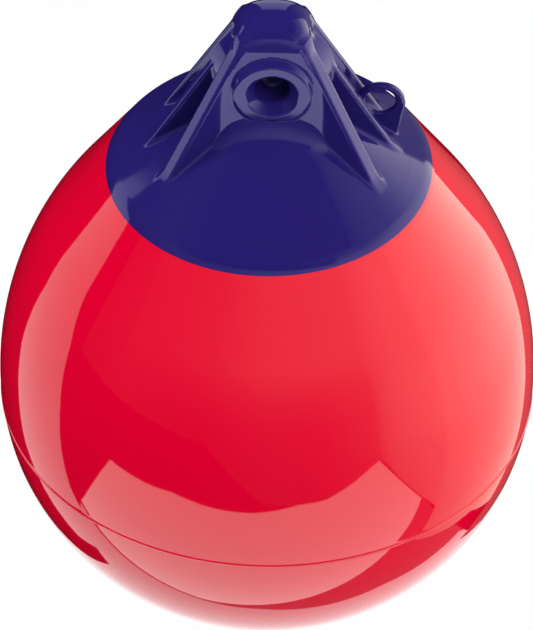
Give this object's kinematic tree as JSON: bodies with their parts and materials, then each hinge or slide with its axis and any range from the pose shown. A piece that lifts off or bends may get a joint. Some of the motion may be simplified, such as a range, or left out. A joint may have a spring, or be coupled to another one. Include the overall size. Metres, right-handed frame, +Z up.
{
  "type": "marker buoy",
  "caption": "Round inflatable vinyl marker buoy with a ribbed moulded rope head, a rope eye through it, a side lanyard eyelet and a screw valve.",
  "frame": {"origin": "on the buoy's axis at the still waterline", "axes": "+Z up the axis to the rope head, the front mouth of the rope eye faces -Y, the lanyard eyelet is on +X"},
  "size_m": [0.203, 0.203, 0.2809],
  "materials": {
    "red_vinyl": "rotomoulded glossy vinyl",
    "blue_vinyl": "moulded satin-gloss vinyl",
    "valve_plastic": "moulded nylon",
    "washer_rubber": "soft rubber"
  },
  "bodies": {
    "root": {"float_body": "red_vinyl", "rope_head": "blue_vinyl", "valve_bush": "valve_plastic", "valve_washer": "washer_rubber", "valve_plug": "valve_plastic"}
  },
  "joints": []
}
